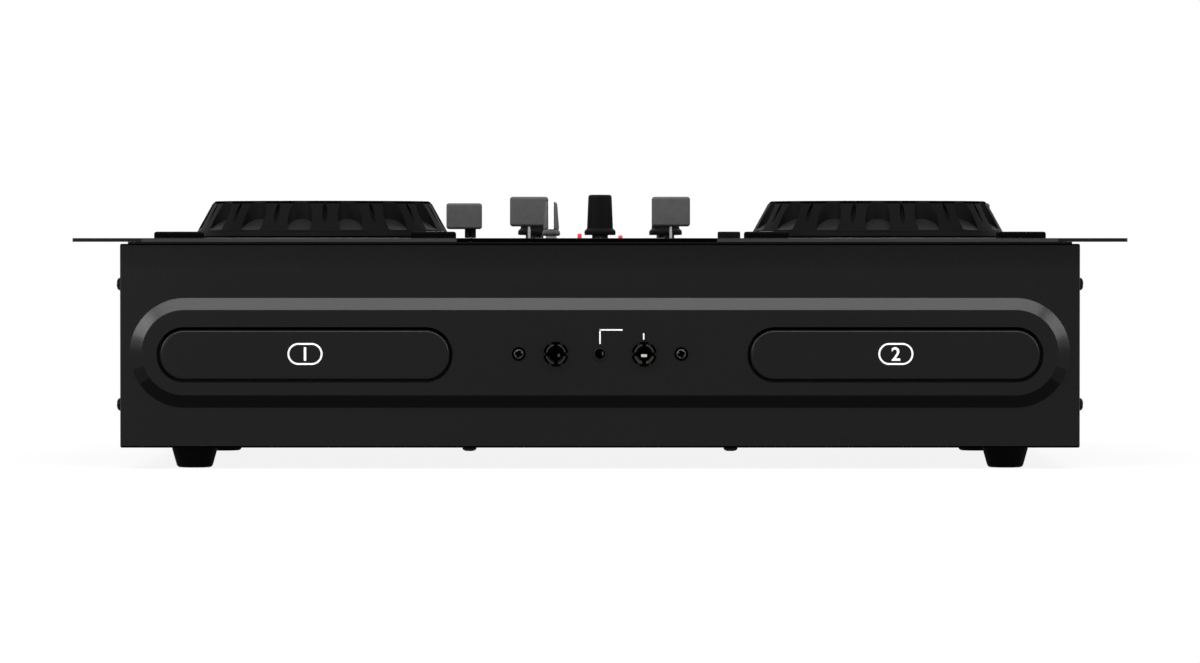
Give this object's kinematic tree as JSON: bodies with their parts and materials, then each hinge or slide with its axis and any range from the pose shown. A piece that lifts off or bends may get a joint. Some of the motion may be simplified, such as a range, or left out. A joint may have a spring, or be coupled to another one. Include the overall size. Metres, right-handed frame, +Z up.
{
  "type": "disc player console",
  "caption": "Rack-width disc player console with a mixer: stadium-ended tray doors, scalloped jog wheels, cue and play pads, faders, knobs, front jacks and rubber feet",
  "frame": {"origin": "on the surface that the feet stand on, under the middle of the top plate", "axes": "+X to the right along the front, +Y from the tray doors to the rear sockets, +Z up"},
  "size_m": [0.4826, 0.2658, 0.1266],
  "materials": {
    "case": "satin black paint",
    "plastic": "satin black",
    "caps": "satin grey",
    "window": "dark window",
    "foot_rubber": "matt black",
    "steel": "plated",
    "board": "circuit board"
  },
  "bodies": {
    "console": {"chassis": "case", "top_plate": "case", "foot_front_left": "foot_rubber", "foot_front_right": "foot_rubber", "foot_rear_left": "foot_rubber", "foot_rear_right": "foot_rubber", "power_inlet": "plastic", "rca_bank": "plastic", "mic_jack": "plastic", "phones_jack": "plastic", "phones_mini_jack": "plastic", "display_left": "window", "display_right": "window", "power_supply": "board", "main_board": "board", "mixer_board": "board", "deck_board_left": "board", "deck_board_right": "board", "drive_frame_left": "plastic", "drive_frame_right": "plastic"},
    "tray_left": {"disc_tray_left": "plastic", "tray_door_left": "case"},
    "traverse_left": {"traverse_left": "steel"},
    "turntable_left": {"turntable_left": "plastic"},
    "pickup_left": {"pickup_left": "plastic"},
    "disc_clamp_left": {"disc_clamp_left": "plastic"},
    "tray_right": {"disc_tray_right": "plastic", "tray_door_right": "case"},
    "traverse_right": {"traverse_right": "steel"},
    "turntable_right": {"turntable_right": "plastic"},
    "pickup_right": {"pickup_right": "plastic"},
    "disc_clamp_right": {"disc_clamp_right": "plastic"},
    "jog_wheel_left": {"jog_wheel_left": "plastic"},
    "jog_wheel_right": {"jog_wheel_right": "plastic"},
    "cue_pad_left": {"cue_pad_left": "plastic"},
    "play_pad_left": {"play_pad_left": "plastic"},
    "eject_button_left": {"eject_button_left": "plastic"},
    "cue_pad_right": {"cue_pad_right": "plastic"},
    "play_pad_right": {"play_pad_right": "plastic"},
    "eject_button_right": {"eject_button_right": "plastic"},
    "source_button": {"source_button": "plastic"},
    "skip_rocker_left": {"skip_rocker_left": "plastic"},
    "channel_fader_left": {"channel_fader_left": "caps"},
    "pitch_fader_left": {"pitch_fader_left": "caps"},
    "skip_rocker_right": {"skip_rocker_right": "plastic"},
    "channel_fader_right": {"channel_fader_right": "caps"},
    "pitch_fader_right": {"pitch_fader_right": "caps"},
    "crossfader": {"crossfader": "caps"},
    "knob_bass_left": {"knob_bass_left": "plastic"},
    "knob_middle_left": {"knob_middle_left": "plastic"},
    "knob_treble_left": {"knob_treble_left": "plastic"},
    "knob_gain_left": {"knob_gain_left": "plastic"},
    "knob_bass_right": {"knob_bass_right": "plastic"},
    "knob_middle_right": {"knob_middle_right": "plastic"},
    "knob_treble_right": {"knob_treble_right": "plastic"},
    "knob_gain_right": {"knob_gain_right": "plastic"},
    "knob_master": {"knob_master": "plastic"},
    "knob_phones": {"knob_phones": "plastic"},
    "knob_mic": {"knob_mic": "plastic"},
    "power_switch": {"power_switch": "plastic"}
  },
  "joints": [
    {"name": "tray_slide_left", "type": "slide", "parent": "console", "child": "tray_left", "axis": [0, -1, 0], "range_m": [0, 0.135]},
    {"name": "traverse_tilt_left", "type": "hinge", "parent": "console", "child": "traverse_left", "pos_m": [-0.1352, 0.01565, 0.0382], "axis": [1, 0, 0], "range_deg": [0, 5]},
    {"name": "turntable_spin_left", "type": "hinge", "parent": "traverse_left", "child": "turntable_left", "pos_m": [-0.1352, -0.06235, 0.055], "axis": [0, 0, 1], "continuous": true},
    {"name": "pickup_slide_left", "type": "slide", "parent": "traverse_left", "child": "pickup_left", "axis": [0, 1, 0], "range_m": [0, 0.032]},
    {"name": "clamp_spin_left", "type": "hinge", "parent": "console", "child": "disc_clamp_left", "pos_m": [-0.1352, -0.06235, 0.0632], "axis": [0, 0, 1], "continuous": true},
    {"name": "tray_slide_right", "type": "slide", "parent": "console", "child": "tray_right", "axis": [0, -1, 0], "range_m": [0, 0.135]},
    {"name": "traverse_tilt_right", "type": "hinge", "parent": "console", "child": "traverse_right", "pos_m": [0.1352, 0.01565, 0.0382], "axis": [1, 0, 0], "range_deg": [0, 5]},
    {"name": "turntable_spin_right", "type": "hinge", "parent": "traverse_right", "child": "turntable_right", "pos_m": [0.1352, -0.06235, 0.055], "axis": [0, 0, 1], "continuous": true},
    {"name": "pickup_slide_right", "type": "slide", "parent": "traverse_right", "child": "pickup_right", "axis": [0, 1, 0], "range_m": [0, 0.032]},
    {"name": "clamp_spin_right", "type": "hinge", "parent": "console", "child": "disc_clamp_right", "pos_m": [0.1352, -0.06235, 0.0632], "axis": [0, 0, 1], "continuous": true},
    {"name": "jog_spin_left", "type": "hinge", "parent": "console", "child": "jog_wheel_left", "pos_m": [-0.1307, -0.05695, 0.1063], "axis": [0, 0, 1], "continuous": true},
    {"name": "jog_spin_right", "type": "hinge", "parent": "console", "child": "jog_wheel_right", "pos_m": [0.1307, -0.05695, 0.1063], "axis": [0, 0, 1], "continuous": true},
    {"name": "cue_pad_left_press", "type": "slide", "parent": "console", "child": "cue_pad_left", "axis": [0, 0, 1], "range_m": [-0.0015, 0], "stiffness_N_per_m": 400, "springref_m": 0.0005},
    {"name": "play_pad_left_press", "type": "slide", "parent": "console", "child": "play_pad_left", "axis": [0, 0, 1], "range_m": [-0.0015, 0], "stiffness_N_per_m": 400, "springref_m": 0.0005},
    {"name": "eject_button_left_press", "type": "slide", "parent": "console", "child": "eject_button_left", "axis": [0, 0, 1], "range_m": [-0.001, 0], "stiffness_N_per_m": 400, "springref_m": 0.0005},
    {"name": "cue_pad_right_press", "type": "slide", "parent": "console", "child": "cue_pad_right", "axis": [0, 0, 1], "range_m": [-0.0015, 0], "stiffness_N_per_m": 400, "springref_m": 0.0005},
    {"name": "play_pad_right_press", "type": "slide", "parent": "console", "child": "play_pad_right", "axis": [0, 0, 1], "range_m": [-0.0015, 0], "stiffness_N_per_m": 400, "springref_m": 0.0005},
    {"name": "eject_button_right_press", "type": "slide", "parent": "console", "child": "eject_button_right", "axis": [0, 0, 1], "range_m": [-0.001, 0], "stiffness_N_per_m": 400, "springref_m": 0.0005},
    {"name": "source_button_press", "type": "slide", "parent": "console", "child": "source_button", "axis": [0, 0, 1], "range_m": [-0.0015, 0], "stiffness_N_per_m": 400, "springref_m": 0.0005},
    {"name": "skip_rock_left", "type": "hinge", "parent": "console", "child": "skip_rocker_left", "pos_m": [-0.1527, 0.01705, 0.1032], "axis": [0, 1, 0], "range_deg": [-3, 3], "stiffness_Nm_per_rad": 0.05},
    {"name": "channel_slide_left", "type": "slide", "parent": "console", "child": "channel_fader_left", "axis": [0, 1, 0], "range_m": [-0.033, 0.012]},
    {"name": "pitch_slide_left", "type": "slide", "parent": "console", "child": "pitch_fader_left", "axis": [0, 1, 0], "range_m": [-0.03, 0.03]},
    {"name": "skip_rock_right", "type": "hinge", "parent": "console", "child": "skip_rocker_right", "pos_m": [0.1087, 0.01705, 0.1032], "axis": [0, 1, 0], "range_deg": [-3, 3], "stiffness_Nm_per_rad": 0.05},
    {"name": "channel_slide_right", "type": "slide", "parent": "console", "child": "channel_fader_right", "axis": [0, 1, 0], "range_m": [-0.033, 0.012]},
    {"name": "pitch_slide_right", "type": "slide", "parent": "console", "child": "pitch_fader_right", "axis": [0, 1, 0], "range_m": [-0.03, 0.03]},
    {"name": "crossfader_slide", "type": "slide", "parent": "console", "child": "crossfader", "axis": [1, 0, 0], "range_m": [0, 0.045]},
    {"name": "knob_bass_left_turn", "type": "hinge", "parent": "console", "child": "knob_bass_left", "pos_m": [-0.0317, -0.02095, 0.1055], "axis": [0, 0, 1], "range_deg": [-150, 150]},
    {"name": "knob_middle_left_turn", "type": "hinge", "parent": "console", "child": "knob_middle_left", "pos_m": [-0.0317, 0.00975, 0.1055], "axis": [0, 0, 1], "range_deg": [-150, 150]},
    {"name": "knob_treble_left_turn", "type": "hinge", "parent": "console", "child": "knob_treble_left", "pos_m": [-0.0317, 0.04045, 0.1055], "axis": [0, 0, 1], "range_deg": [-150, 150]},
    {"name": "knob_gain_left_turn", "type": "hinge", "parent": "console", "child": "knob_gain_left", "pos_m": [-0.0317, 0.07115, 0.1055], "axis": [0, 0, 1], "range_deg": [-150, 150]},
    {"name": "knob_bass_right_turn", "type": "hinge", "parent": "console", "child": "knob_bass_right", "pos_m": [0.0317, -0.02095, 0.1055], "axis": [0, 0, 1], "range_deg": [-150, 150]},
    {"name": "knob_middle_right_turn", "type": "hinge", "parent": "console", "child": "knob_middle_right", "pos_m": [0.0317, 0.00975, 0.1055], "axis": [0, 0, 1], "range_deg": [-150, 150]},
    {"name": "knob_treble_right_turn", "type": "hinge", "parent": "console", "child": "knob_treble_right", "pos_m": [0.0317, 0.04045, 0.1055], "axis": [0, 0, 1], "range_deg": [-150, 150]},
    {"name": "knob_gain_right_turn", "type": "hinge", "parent": "console", "child": "knob_gain_right", "pos_m": [0.0317, 0.07115, 0.1055], "axis": [0, 0, 1], "range_deg": [-150, 150]},
    {"name": "knob_master_turn", "type": "hinge", "parent": "console", "child": "knob_master", "pos_m": [0, -0.02095, 0.1055], "axis": [0, 0, 1], "range_deg": [-150, 150]},
    {"name": "knob_phones_turn", "type": "hinge", "parent": "console", "child": "knob_phones", "pos_m": [0, 0.0251, 0.1055], "axis": [0, 0, 1], "range_deg": [-150, 150]},
    {"name": "knob_mic_turn", "type": "hinge", "parent": "console", "child": "knob_mic", "pos_m": [0, 0.07115, 0.1055], "axis": [0, 0, 1], "range_deg": [-150, 150]},
    {"name": "power_rock", "type": "hinge", "parent": "console", "child": "power_switch", "pos_m": [0.19365, 0.12235, 0.048], "axis": [1, 0, 0], "range_deg": [-16, 0]}
  ],
  "couplings": [
    {"joint": "clamp_spin_left", "follows": "turntable_spin_left", "ratio": 1},
    {"joint": "clamp_spin_right", "follows": "turntable_spin_right", "ratio": 1}
  ]
}
